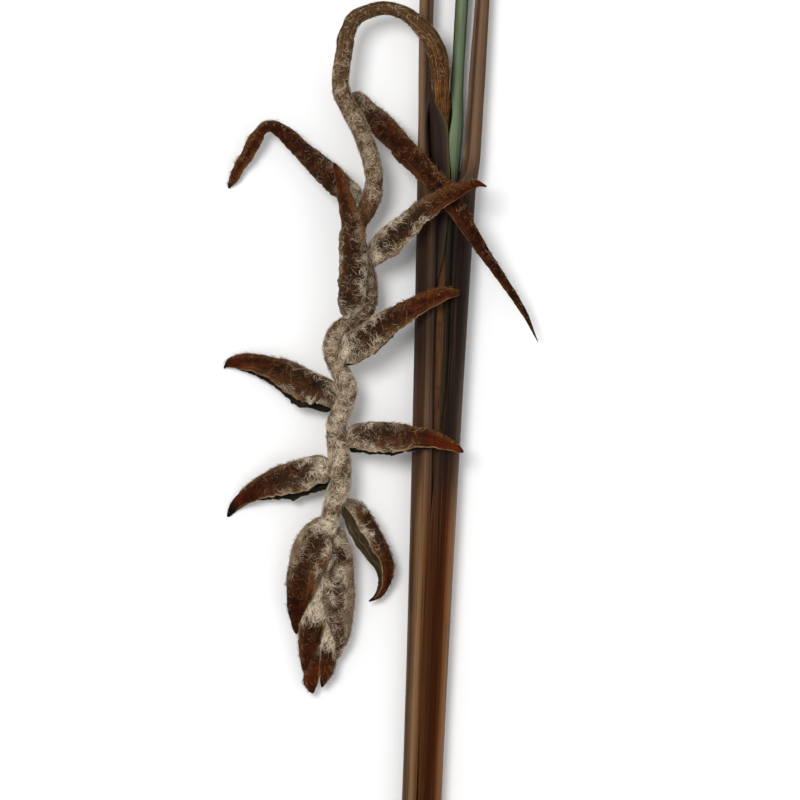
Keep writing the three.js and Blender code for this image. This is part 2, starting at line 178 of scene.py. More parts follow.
def bract_rings(node):
    """Rings of a bract from base to tip. Each starts at the front lip and runs over the keel."""
    corners, near = skeleton(node)
    poles = sorted(range(len(corners)), key=lambda i: -len(near[i]))[:2]
    reach = [
        np.linalg.norm(corners[list(near[p])].mean(0) - corners[p]) for p in poles
    ]
    base, tip = (poles[0], poles[1]) if reach[0] < reach[1] else (poles[1], poles[0])
    layers = layers_from([base], near)[1:-1]
    rings = [corners[cycled(layer, near)] for layer in layers]
    middle = len(rings) // 2
    rings[middle] = from_first_margin(rings[middle])
    n = len(rings[middle]) // 2
    if rings[middle][0][2] < rings[middle][n - 1][2]:
        rings[middle] = turned(rings[middle])
    rings = chained(rings, middle)
    ends = [np.repeat(corners[[p]], 2 * n, axis=0) for p in (base, tip)]
    return np.array([ends[0], *rings, ends[1]])


def sheath_rings(node):
    """Rings of a sheath from the lower cut upwards, each from one margin over the outside to the other."""
    corners, near = skeleton(node)
    heights = np.unique(np.round(corners[:, 1], 5))
    layers = [np.flatnonzero(abs(corners[:, 1] - y) < 2e-5) for y in heights]
    rings = [corners[cycled(list(layer), near)] for layer in layers[1:-1]]
    middle = 2
    rings[middle] = from_first_margin(rings[middle])
    rings = chained(rings, middle)
    low, high = (
        matched(corners[layers[k]], guide) for k, guide in ((0, rings[0]), (-1, rings[-1]))
    )
    return np.array([low, *rings, high])


def stalk_rings(node):
    """Rings of the stalk from the lower cut to its far end, which is a point."""
    corners, near = skeleton(node)
    candidates = [i for i in range(len(corners)) if len(near[i]) == 10]
    end = next(i for i in candidates if all(len(near[j]) == 5 for j in near[i]))
    layers = layers_from([end], near)[1:]
    rings = [corners[cycled(layer, near)] for layer in layers[:-1]]
    rings = chained(rings, 0)
    rings.append(matched(corners[layers[-1]], rings[-1]))
    return np.array([np.repeat(corners[[end]], len(rings[0]), axis=0), *rings])[::-1]


# ---- Smooth grids ----
def on_curve(p0, p1, p2, p3, f):
    """The points a share f of the way from p1 to p2, on a smooth curve through all four."""
    return 0.5 * (
        2 * p1
        + (p2 - p0) * f
        + (2 * p0 - 5 * p1 + 4 * p2 - p3) * f**2
        + (3 * p1 - p0 - 3 * p2 + p3) * f**3
    )


def read_at(values, t):
    """Values re-read at fractional places t along their first axis."""
    t = np.clip(t, 0, len(values) - 1)
    i = np.minimum(t.astype(int), len(values) - 2)
    f = (t - i).reshape(-1, *[1] * (values.ndim - 1))
    v = np.concatenate([2 * values[:1] - values[1:2], values, 2 * values[-1:] - values[-2:-1]])
    return on_curve(*(v[i + k] for k in range(4)), f)


def read_across(grid, t):
    """Each row of grid [rows, n, 3] re-read at its own fractional places t [rows, m]."""
    i = np.clip(t.astype(int), 0, grid.shape[1] - 2)
    ends = 2 * grid[:, :1] - grid[:, 1:2], 2 * grid[:, -1:] - grid[:, -2:-1]
    v = np.concatenate([ends[0], grid, ends[1]], axis=1)
    row = np.arange(len(grid))[:, None]
    return on_curve(*(v[row, i + k] for k in range(4)), (t - i)[..., None])


def bilinear(grid, u, v, closed):
    """The grid read at fractional places u along it and v across it."""
    rows, columns = grid.shape[:2]
    u = np.clip(u, 0, rows - 1.001)
    v = v % columns if closed else np.clip(v, 0, columns - 1.001)
    i, j = u.astype(int), v.astype(int)
    j = np.minimum(j, columns - 1)
    k = (j + 1) % columns if closed else j + 1
    f, g = (u - i), (v - j)
    if grid.ndim == 3:
        f, g = f[..., None], g[..., None]
    return (grid[i, j] * (1 - f) * (1 - g) + grid[i, k] * (1 - f) * g
            + grid[i + 1, j] * f * (1 - g) + grid[i + 1, k] * f * g)


def unit(v):
    return v / np.maximum(np.linalg.norm(v, axis=-1, keepdims=True), 1e-12)


def normals_of(grid, closed=False):
    """Outward normals of a grid that is curled round its own middle line."""
    along = np.gradient(grid, axis=0)
    if closed:
        across = (np.roll(grid, -1, axis=1) - np.roll(grid, 1, axis=1)) / 2
    else:
        across = np.gradient(grid, axis=1)
    n = unit(np.cross(along, across))
    away = grid - grid.mean(1, keepdims=True)
    middle = slice(len(grid) // 4, 3 * len(grid) // 4)
    return n if (n[middle] * away[middle]).sum() > 0 else -n


# ---- Meshes ----
def mesh_object(name, points, faces, materials, face_material=None, values=None):
    """A smooth mesh of triangles or quads that rides on the root body. `values` are numbers per corner."""
    mesh = bpy.data.meshes.new(name)
    count, sides = faces.shape
    mesh.vertices.add(len(points))
    mesh.vertices.foreach_set("co", points.astype(np.float32).ravel())
    mesh.loops.add(count * sides)
    mesh.loops.foreach_set("vertex_index", faces.astype(np.int32).ravel())
    mesh.polygons.add(count)
    mesh.polygons.foreach_set("loop_start", np.arange(0, count * sides, sides, dtype=np.int32))
    mesh.update(calc_edges=True)
    mesh.polygons.foreach_set("use_smooth", np.ones(count, dtype=bool))
    for material in materials:
        mesh.materials.append(material)
    if face_material is not None:
        mesh.polygons.foreach_set("material_index", face_material.astype(np.int32))
    for key, value in (values or {}).items():
        attribute = mesh.attributes.new(key, "FLOAT", "POINT")
        attribute.data.foreach_set("value", value.astype(np.float32).ravel())
    mesh.validate()
    made = bpy.data.objects.new(name, mesh)
    bpy.context.scene.collection.objects.link(made)
    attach(made, "root")
    return made


def tube_faces(rows, columns):
    """Quads between the rows of a grid that closes round its columns."""
    i, j = np.meshgrid(np.arange(rows - 1), np.arange(columns), indexing="ij")
    k = (j + 1) % columns
    quads = [i * columns + j, i * columns + k, (i + 1) * columns + k, (i + 1) * columns + j]
    return np.stack(quads, axis=-1).reshape(-1, 4)


def outwards(points, faces):
    """The faces turned so that the skin faces out."""
    a, b, c = (points[faces[:, k]] for k in range(3))
    volume = (a * np.cross(b, c)).sum()
    if faces.shape[1] == 4:
        d = points[faces[:, 3]]
        volume += (a * np.cross(c, d)).sum()
    return faces if volume > 0 else faces[:, ::-1]


# ---- Hair ----
HAIR_SIDES = 3
LOCK_SIZE = 11  # mm across a patch where the hairs lie the same way
CURL_SIZE = 7  # mm across a patch where they bend to the same side
LEAST_STEP = 5e-5  # keeps a hair's path finite at the tips, where the columns of a grid meet


def between(ends, share):
    return ends[0] + (ends[1] - ends[0]) * share


def hair_faces(count, points):
    """Triangles of many three-sided tubes that are closed at both ends."""
    local = []
    for k in range(points - 1):
        for corner in range(HAIR_SIDES):
            a, b = HAIR_SIDES * k + corner, HAIR_SIDES * k + (corner + 1) % HAIR_SIDES
            local += [[a, b, b + HAIR_SIDES], [a, b + HAIR_SIDES, a + HAIR_SIDES]]
    last = HAIR_SIDES * (points - 1)
    local += [[0, 2, 1], [last, last + 1, last + 2]]
    base = (np.arange(count) * points * HAIR_SIDES)[:, None, None]
    return (base + np.array(local)[None]).reshape(-1, 3)


def add_strands(name, host, normal, density, material, seed, count, length, radius, lift, tints,
                curl=1.5, points=5, closed=False, heading=None):
    """Curly tapering hairs that lie on a host grid in locks, most where `density` is high.

    `length`, `radius` and `lift` each give a least and a greatest value, and `lift` is how far a hair rises.
    `tints` are fields over the host that colour a hair by where it starts. `heading` is a direction along
    the grid (0) or across it (pi / 2), and how far hairs stray from it.
    """
    rng = np.random.default_rng(seed)
    wrapped = np.concatenate([host, host[:, :1]], axis=1) if closed else host
    side_u = wrapped[1:, :-1] - wrapped[:-1, :-1]
    side_v = wrapped[:-1, 1:] - wrapped[:-1, :-1]
    area = np.linalg.norm(np.cross(side_u, side_v), axis=-1)
    weight = area * (density[:-1] if closed else density[:-1, :-1])
    weight = np.maximum(weight, 0).ravel()
    pick = rng.choice(weight.size, count, p=weight / weight.sum())
    columns = area.shape[1]
    u = pick // columns + rng.random(count)
    v = pick % columns + rng.random(count)
    start = u, v
    step_u = np.linalg.norm(np.gradient(host, axis=0), axis=-1)
    if closed:
        step_v = np.linalg.norm(np.roll(host, -1, axis=1) - host, axis=-1)
    else:
        step_v = np.linalg.norm(np.gradient(host, axis=1), axis=-1)
    size = between(length, rng.random(count))
    thick = between(radius, rng.random(count) ** 2)
    rise = between(lift, rng.random(count) ** 2.5)
    locks = noise(host / MM, LOCK_SIZE, seed + 3, 2) * 1.6 * math.pi
    angle = bilinear(locks, u, v, closed) + 0.55 * rng.standard_normal(count)
    if heading is not None:
        angle = heading[0] + heading[1] * (rng.standard_normal(count) + 0.7 * np.sin(angle))
    sides = np.sign(bilinear(noise(host / MM + 90, CURL_SIZE, seed + 4, 1), u, v, closed))
    bend = curl * (0.8 * rng.standard_normal(count) + 0.9 * sides)
    pace = size / (points - 1)
    spine, outward = [], []
    for s in np.arange(points) / (points - 1):
        n = unit(bilinear(normal, u, v, closed))
        high = (thick * 0.4 + rise * s * (1.6 - 0.6 * s))[:, None]
        spine.append(bilinear(host, u, v, closed) + n * high)
        outward.append(n)
        along = np.maximum(bilinear(step_u, u, v, closed), LEAST_STEP)
        across = np.maximum(bilinear(step_v, u, v, closed), LEAST_STEP)
        u = u + np.cos(angle) * pace / along
        v = v + np.sin(angle) * pace / across
        angle = angle + bend * 2 / (points - 1)
    spine, outward = np.array(spine), np.array(outward)
    ahead = unit(np.gradient(spine, axis=0))
    aside = unit(np.cross(ahead, outward))
    above = np.cross(aside, ahead)
    shares = np.linspace(0, 1, points)
    width = thick[None] * (1 - 0.72 * shares[:, None] ** 1.5)
    rings = []
    for corner in range(HAIR_SIDES):
        a = 2 * math.pi * corner / HAIR_SIDES + 0.5
        rings.append(spine + (aside * math.cos(a) + above * math.sin(a)) * width[..., None])
    grid = np.array(rings).transpose(2, 1, 0, 3)
    grid[..., 2] = np.maximum(grid[..., 2], LEAST_HEIGHT)
    corners = points * HAIR_SIDES
    values = {
        "tone": np.repeat(rng.random(count), corners),
        "tip": np.tile(np.repeat(shares, HAIR_SIDES), count),
    }
    for key, field in tints.items():
        values[key] = np.repeat(bilinear(field, *start, closed), corners)
    return mesh_object(name, grid.reshape(-1, 3), hair_faces(count, points), [material], values=values)


# ---- Materials ----
def rgb(r, g, b):
    """An sRGB colour of 0 to 255 as the linear values that shaders use."""
    linear = [(c / 255 / 12.92 if c <= 10 else ((c / 255 + 0.055) / 1.055) ** 2.4) for c in (r, g, b)]
    return (*linear, 1.0)


class Graph:
    """A material's nodes. A call adds one node or a few, and returns the last one's output."""

    def __init__(self, name):
        self.material = bpy.data.materials.new(name)
        self.material.use_nodes = True
        self.tree = self.material.node_tree
        self.tree.nodes.clear()

    def add(self, kind, sockets=None, out=0, **settings):
        node = self.tree.nodes.new(kind)
        for key, value in settings.items():
            setattr(node, key, value)
        for key, value in (sockets or {}).items():
            if isinstance(value, bpy.types.NodeSocket):
                self.tree.links.new(value, node.inputs[key])
            else:
                node.inputs[key].default_value = value
        return node.outputs[out] if len(node.outputs) else None

    def number(self, name):
        """A number that the mesh carries at each corner."""
        return self.add("ShaderNodeAttribute", out=2, attribute_name=name)

    def math(self, operation, a, b=0.0, clamp=False):
        return self.add("ShaderNodeMath", {0: a, 1: b}, operation=operation, use_clamp=clamp)

    def plus(self, a, b, clamp=False):
        return self.math("ADD", a, b, clamp)

    def times(self, a, b, clamp=False):
        return self.math("MULTIPLY", a, b, clamp)

    def mix(self, share, a, b):
        return self.add("ShaderNodeMix", {0: share, 6: a, 7: b}, out=2,
                        data_type="RGBA", clamp_factor=True)

    def span(self, value, low, high, to_low=0.0, to_high=1.0):
        return self.add("ShaderNodeMapRange", {0: value, 1: low, 2: high, 3: to_low, 4: to_high},
                        interpolation_type="SMOOTHSTEP")

    def ramp(self, value, *stops):
        """A colour ramp. Each stop is its place from 0 to 1, then red, green and blue."""
        node = self.tree.nodes.new("ShaderNodeValToRGB")
        self.tree.links.new(value, node.inputs[0])
        elements = node.color_ramp.elements
        while len(elements) < len(stops):
            elements.new(0.5)
        for element, (place, *colour) in zip(elements, stops):
            element.position = place
            element.color = rgb(*colour)
        return node.outputs[0]

    def place(self, scale=(1, 1, 1)):
        where = self.add("ShaderNodeTexCoord", out=3)
        return self.add("ShaderNodeVectorMath", {0: where, 1: scale}, operation="MULTIPLY")

    def grain(self, where, scale, detail, rough, distortion=0.0):
        return self.add("ShaderNodeTexNoise", {"Vector": where, "Scale": scale, "Detail": detail,
                                               "Roughness": rough, "Distortion": distortion})

    def lines(self, where, scale, thin, distortion):
        """Thin curly lines, bright on dark, where a noise passes its middle value."""
        n = self.grain(where, scale, 1.5, 0.5, distortion)
        away = self.math("ABSOLUTE", self.math("SUBTRACT", n, 0.5))
        return self.span(away, thin, 0.0)

    def join(self, *parts):
        return self.add("ShaderNodeCombineXYZ", dict(enumerate(parts)))

    def finish(self, colour, roughness, specular, bump=None):
        """The finished material. `bump` is a height, its distance and its strength."""
        sockets = {"Base Color": colour, "Roughness": roughness, "Specular IOR Level": specular}
        if bump:
            height, distance, strength = bump
            sockets["Normal"] = self.add("ShaderNodeBump", {"Strength": strength, "Distance": distance,
                                                            "Height": height})
        shader = self.add("ShaderNodeBsdfPrincipled", sockets)
        self.add("ShaderNodeOutputMaterial", {"Surface": shader})
        return self.material


DULL = 0.03  # specular level of wool and of dry, hairy tissue


def bract_skin():
    g = Graph("bract_skin")
    along, across, wool = g.number("along"), g.number("across"), g.number("wool")
    where = g.place()
    broad = g.grain(where, 110, 4, 0.62)
    fine = g.grain(where, 900, 3, 0.6)
    veins = g.grain(g.join(g.times(across, 30.0), g.times(along, 3.5), 0.0), 1.6, 4, 0.62, 0.6)
    # the bare bract, rusty towards the tip, tan by the front lip, with dark veins
    colour = g.ramp(broad, (0.3, 12, 5, 3), (0.5, 34, 14, 6), (0.72, 66, 28, 10))
    rust = g.times(g.number("rust"), g.span(broad, 0.3, 0.66, 0.45, 1.0))
    colour = g.mix(rust, colour, g.ramp(veins, (0.32, 46, 12, 2), (0.62, 122, 46, 8)))
    tan = g.times(g.number("belly"), g.span(broad, 0.32, 0.6, 0.3, 1.0))
    colour = g.mix(tan, colour, g.ramp(veins, (0.32, 70, 36, 13), (0.65, 132, 84, 44)))
    colour = g.mix(g.span(veins, 0.5, 0.34, 0.0, 0.6), colour, rgb(22, 12, 8))
    # orange felt, then the pale wool that lies close to the skin
    fibre = g.lines(where, 520, 0.11, 1.2)
    felt = g.times(g.number("felt"), g.plus(0.35, g.times(fibre, 0.65)))
    colour = g.mix(felt, colour, g.ramp(fine, (0.3, 88, 48, 18), (0.7, 150, 98, 46)))
    strands = g.math("MAXIMUM", g.lines(where, 330, 0.055, 2.4), g.lines(where, 520, 0.05, 1.6))
    soft = g.times(wool, g.plus(0.26, g.times(strands, 0.5)), True)
    thin_wool = g.ramp(fine, (0.3, 70, 50, 34), (0.7, 134, 108, 80))
    thick_wool = g.ramp(fine, (0.3, 122, 98, 72), (0.7, 198, 174, 142))
    colour = g.mix(soft, colour, g.mix(g.span(wool, 0.45, 0.95), thin_wool, thick_wool))
    # the inner face, the pale front lip and the burnt tip
    ribs = g.ramp(veins, (0.35, 20, 19, 15), (0.58, 44, 40, 30), (0.75, 84, 70, 50))
    olive_ribs = g.ramp(veins, (0.35, 44, 36, 25), (0.55, 74, 62, 44), (0.75, 122, 104, 78))
    colour = g.mix(g.number("inner"), colour, g.mix(g.number("olive"), ribs, olive_ribs))
    lip = g.ramp(broad, (0.35, 140, 98, 62), (0.65, 206, 172, 134))
    colour = g.mix(g.number("rim"), colour, lip)
    colour = g.mix(g.number("char"), colour, rgb(18, 12, 10))
    height = g.plus(g.times(strands, wool), g.times(veins, 1.2))
    height = g.plus(height, g.times(fine, 0.35))
    rough = g.plus(0.5, g.times(wool, 0.4), True)
    return g.finish(colour, rough, DULL, (height, 0.5 * MM, 0.8))


def wool_skin(name, pale, dark, felt):
    """Hair from dark to pale, or the colour of felt. Each hair has its own tone and a dark root."""
    g = Graph(name)
    tone, tip = g.number("tone"), g.number("tip")
    bright = g.plus(g.times(tone, 0.5), g.times(g.number("bright"), 0.75))
    colour = g.mix(g.span(bright, 0.25, 1.05), dark, pale)
    warm = g.times(g.number("felt"), g.span(tone, -0.5, 0.6))
    colour = g.mix(warm, colour, g.mix(g.span(tone, 0.1, 0.9), rgb(74, 34, 11), felt))
    colour = g.mix(g.span(tip, 0.45, 0.0, 0.0, 0.6), colour, rgb(40, 24, 14))
    return g.finish(colour, 0.9, DULL)


def stalk_skin():
    g = Graph("stalk_skin")
    run, turn, wool = g.number("run"), g.number("round"), g.number("wool")
    where = g.place()
    circle = g.times(g.math("COSINE", turn), 7.0), g.times(g.math("SINE", turn), 7.0)
    fibres = g.grain(g.join(*circle, g.times(run, 24.0)), 1.3, 5, 0.66, 0.5)
    broad = g.grain(where, 120, 3, 0.6)
    fine = g.grain(where, 1000, 3, 0.6)
    dark = g.ramp(fibres, (0.36, 20, 11, 6), (0.5, 66, 44, 24), (0.66, 126, 96, 60))
    orange = g.ramp(fibres, (0.38, 24, 12, 5), (0.5, 80, 46, 20), (0.64, 136, 92, 48))
    colour = g.mix(g.number("orange"), dark, orange)
    # duller below the parting, inside the stem
    shaded = g.ramp(fibres, (0.3, 54, 33, 20), (0.55, 88, 60, 40), (0.75, 116, 84, 60))
    colour = g.mix(g.span(run, 0.012, -0.02), colour, shaded)
    strands = g.math("MAXIMUM", g.lines(where, 300, 0.06, 2.4), g.lines(where, 460, 0.05, 1.6))
    soft = g.times(wool, g.plus(0.2, g.times(strands, 0.6)), True)
    colour = g.mix(soft, colour, g.ramp(fine, (0.3, 112, 88, 62), (0.7, 176, 150, 116)))
    colour = g.mix(g.span(broad, 0.45, 0.3, 0.0, 0.5), colour, rgb(28, 18, 12))
    height = g.plus(g.times(strands, wool), g.times(fibres, 1.5))
    return g.finish(colour, 0.8, DULL, (height, 0.6 * MM, 0.85))


def cut_skin(name, pale, dark):
    """A dry cut across a sheath: pale tissue with rows of small air chambers."""
    g = Graph(name)
    where = g.place()
    cells = g.add("ShaderNodeTexVoronoi", {"Vector": where, "Scale": 900.0}, feature="DISTANCE_TO_EDGE")
    walls = g.span(cells, 0.0, 0.16)
    broad = g.grain(where, 260, 3, 0.6)
    colour = g.mix(walls, pale, dark)
    colour = g.mix(g.span(broad, 0.45, 0.7), colour, rgb(96, 70, 46))
    return g.finish(colour, 0.85, 0.25, (g.times(walls, -1.0), 0.3 * MM, 0.8))


def sheath_skin(name, low, high, top, bands=(-0.1, -0.015, 0.165, 0.235), streak=(0.6, 0.26)):
    """Fine lengthwise streaks over colours that run from left to right.

    There are three sets of colours. `bands` gives the heights between which the low set turns into the
    high one, and that one into the top one. `streak` is how strong the dark and the pale streaks are.
    """
    g = Graph(name)
    side, run = g.number("side"), g.number("run")
    wobble = g.grain(g.join(0.0, g.times(run, 7.0), g.times(side, 2.0)), 1.0, 4, 0.6)
    moved = g.plus(side, g.times(g.math("SUBTRACT", wobble, 0.5), 0.1))
    streaks = g.grain(g.join(g.times(side, 24.0), g.times(run, 4.0), 0.0), 1.0, 5, 0.68, 0.2)
    thin = g.grain(g.join(g.times(side, 85.0), g.times(run, 7.0), 0.0), 1.0, 3, 0.6)
    patchy = g.plus(run, g.times(g.math("SUBTRACT", streaks, 0.5), 0.12))
    colour = g.mix(g.span(patchy, *bands[:2]), g.ramp(moved, *low), g.ramp(moved, *high))
    colour = g.mix(g.span(run, *bands[2:]), colour, g.ramp(moved, *top))
    colour = g.mix(g.span(streaks, 0.5, 0.3, 0.0, streak[0]), colour, rgb(20, 13, 10))
    # painted shade: the sheaths are darkened from the middle of the stem to the parting
    painted_shade = g.times(g.span(run, 0.0, 0.08, 0.0, 0.62), g.span(run, 0.24, 0.18), True)
    colour = g.mix(painted_shade, colour, rgb(26, 19, 18))
    colour = g.mix(g.span(streaks, 0.56, 0.78, 0.0, streak[1]), colour, rgb(140, 96, 56))
    colour = g.mix(g.span(thin, 0.5, 0.68, 0.0, 0.5), colour, rgb(14, 8, 6))
    colour = g.mix(g.span(thin, 0.45, 0.3, 0.0, 0.2), colour, rgb(150, 112, 74))
    blotch = g.grain(g.place((1, 0.14, 1)), 130, 4, 0.65)
    colour = g.mix(g.span(blotch, 0.56, 0.8, 0.0, 0.4), colour, rgb(40, 24, 16))
    height = g.plus(streaks, g.times(thin, 0.5))
    rough = g.span(streaks, 0.3, 0.7, 0.5, 0.38)
    return g.finish(colour, rough, 0.035, (height, 0.35 * MM, 0.6))


# Colours across the stem and the leaf stalks, from their left edge (0) to their right edge (1).
STEM_LOW = ((0.0, 104, 84, 66), (0.06, 68, 42, 25), (0.13, 98, 71, 47), (0.21, 130, 99, 70),
            (0.29, 108, 74, 46), (0.38, 76, 44, 19), (0.48, 64, 32, 10), (0.62, 52, 20, 3),
            (0.74, 54, 22, 4), (0.82, 78, 38, 12), (0.9, 122, 80, 46), (1.0, 128, 100, 76))
STEM_HIGH = ((0.0, 82, 60, 48), (0.09, 66, 42, 30), (0.2, 68, 44, 29), (0.27, 108, 82, 62),
             (0.33, 72, 53, 43), (0.46, 72, 55, 46), (0.56, 44, 31, 24), (0.68, 28, 19, 14),
             (0.86, 42, 31, 26), (1.0, 86, 70, 60))
LEFT_TOP = ((0.0, 112, 88, 64), (0.2, 128, 100, 74), (0.45, 98, 74, 57), (0.62, 56, 40, 30),
            (0.78, 84, 62, 50), (1.0, 106, 86, 72))
RIGHT_TOP = ((0.0, 134, 112, 92), (0.18, 88, 62, 46), (0.3, 62, 41, 28), (0.45, 116, 90, 70),
             (0.75, 110, 82, 60), (1.0, 80, 58, 42))
GREEN_LOW = ((0.0, 44, 36, 24), (0.4, 52, 44, 30), (0.75, 48, 46, 30), (1.0, 32, 28, 20))
GREEN_MIDDLE = ((0.0, 56, 50, 36), (0.35, 62, 60, 44), (0.7, 58, 62, 44), (1.0, 38, 38, 27))
GREEN_TOP = ((0.0, 52, 58, 38), (0.18, 88, 102, 72), (0.45, 110, 126, 98), (0.78, 96, 110, 84),
             (1.0, 62, 74, 54))
DARK_LOW = ((0.0, 58, 40, 30), (0.5, 84, 56, 36), (1.0, 50, 36, 26))
DARK = ((0.0, 34, 25, 21), (0.3, 48, 35, 31), (0.6, 40, 28, 26), (0.85, 66, 54, 38), (1.0, 88, 80, 52))

SKIN = {
    "bract": bract_skin(),
    "stalk": stalk_skin(),
    "wool": wool_skin("wool_pale", rgb(250, 230, 200), rgb(92, 66, 42), rgb(160, 96, 42)),
    "bract_wool": wool_skin("wool_brown", rgb(252, 234, 206), rgb(88, 62, 40), rgb(150, 97, 50)),
    "cut_brown": cut_skin("cut_brown", rgb(160, 128, 92), rgb(104, 76, 50)),
    "cut_green": cut_skin("cut_green", rgb(142, 140, 96), rgb(88, 90, 58)),
    "left": sheath_skin("left_sheath_skin", STEM_LOW, STEM_HIGH, LEFT_TOP),
    "right": sheath_skin("right_sheath_skin", STEM_LOW, STEM_HIGH, RIGHT_TOP),
    "green": sheath_skin("green_sheath_skin", GREEN_LOW, GREEN_MIDDLE, GREEN_TOP,
                         bands=(0.1, 0.16, 0.19, 0.225), streak=(0.4, 0.2)),
    "dark": sheath_skin("flower_sheath_skin", DARK_LOW, DARK, DARK, streak=(0.5, 0.22)),
}


# ---- Sheaths ----
PARTING = 0.197  # the height (y) where the stem parts into leaf stalks
SHEATH_PITCH = 2.5 * MM
SHEATH_COLUMNS = 56
RIGHT_MARGIN = (0.199, 0.262)  # the margin of the right leaf stalk runs straight between these heights


def edges_of(node):
    """Heights along a sheath, and its least and greatest x at each."""
    rings = sheath_rings(node)
    return rings[:, 0, 1], rings[..., 0].min(1), rings[..., 0].max(1)


STEM_EDGES = edges_of("left_leaf_sheath"), edges_of("right_leaf_sheath")


def side_of(grid):
    """How far right a point lies: across the whole stem below the parting, across its own piece above."""
    y = grid[..., 1]
    (y0, low, _), (y1, _, high) = STEM_EDGES
    whole = np.interp(y, y0, low), np.interp(y, y1, high)
    own = grid[..., 0].min(1, keepdims=True), grid[..., 0].max(1, keepdims=True)
    t = smooth(PARTING - 0.03, PARTING + 0.015, y)
    left, right = (whole[k] * (1 - t) + own[k] * t for k in (0, 1))
    return (grid[..., 0] - left) / (right - left)


def add_sheath(node, skin, cut, relief, straight=None):
    """A sheath with lengthwise ridges. `straight` gives heights between which its first margin is straight."""
    rings = sheath_rings(node)
    n = rings.shape[1] // 2
    heights = rings[:, 0, 1]
    rows, columns = int((heights[-1] - heights[0]) / SHEATH_PITCH), SHEATH_COLUMNS
    places = np.interp(np.linspace(heights[0], heights[-1], rows), heights, np.arange(len(heights)))
    rings = read_at(rings, places)
    y = rings[:, 0, 1]
    where = np.tile(np.linspace(0, n - 1, columns), (rows, 1))
    outer = read_across(rings[:, :n], where)
    inner = read_across(rings[:, :n - 1:-1], where)
    if straight:
        ends = np.interp(straight, y, outer[:, 0, 0])
        between_them = (y > straight[0]) & (y < straight[1])
        shift = np.where(between_them, np.interp(y, straight, ends) - outer[:, 0, 0], 0)
        shift = shift[:, None] * smooth(0.45, 0, np.linspace(0, 1, columns))[None]
        outer[..., 0] += shift
        inner[..., 0] += shift
    normal = normals_of(outer)
    share = np.linspace(0, 1, columns)[None].repeat(rows, 0)
    lengthwise = np.stack([share * 60, outer[..., 1] * 9, 0 * share], axis=-1)
    ridge = noise(lengthwise, 3.2, 5, 3) + 0.5 * noise(lengthwise, 1.1, 9, 2)
    inset = np.minimum(share, 1 - share)
    outer = outer + normal * (relief * ridge * smooth(0, 0.06, inset))[..., None]
    outer[..., 1] = outer[:, :1, 1]
    grid = np.concatenate([outer, inner[:, ::-1]], axis=1)
    faces = tube_faces(rows, 2 * columns)
    j = np.arange(columns - 1)
    cap = np.stack([j, j + 1, 2 * columns - 2 - j, 2 * columns - 1 - j], axis=-1)
    faces = np.concatenate([faces, cap[:, ::-1], cap + (rows - 1) * 2 * columns])
    points = grid.reshape(-1, 3)
    which = np.zeros(len(faces))
    which[-2 * len(cap):] = 1
    own = (grid[..., 0] - grid[..., 0].min(1, keepdims=True)) / np.ptp(grid[..., 0], axis=1)[:, None]
    side = side_of(grid) if node in ("left_leaf_sheath", "right_leaf_sheath") else own
    values = {"side": side, "run": grid[..., 1]}
    made = mesh_object(node + "_look", points, outwards(points, faces), [skin, cut], which, values)
    made.data.polygons.foreach_set("use_smooth", which == 0)
    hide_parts(node)


add_sheath("left_leaf_sheath", SKIN["left"], SKIN["cut_brown"], 0.28 * MM)
add_sheath("right_leaf_sheath", SKIN["right"], SKIN["cut_brown"], 0.28 * MM, RIGHT_MARGIN)
add_sheath("green_leaf_sheath", SKIN["green"], SKIN["cut_green"], 0.12 * MM)
add_sheath("flower_sheath", SKIN["dark"], SKIN["cut_brown"], 0.15 * MM)


# ---- Flower stalk ----
STALK_PITCH = 0.75 * MM
STALK_ROWS_INSIDE = 150  # rows below the parting, where little of the stalk shows
STALK_COLUMNS = 60
STALK_END = 8 * MM  # how far the far end grows on into the bud


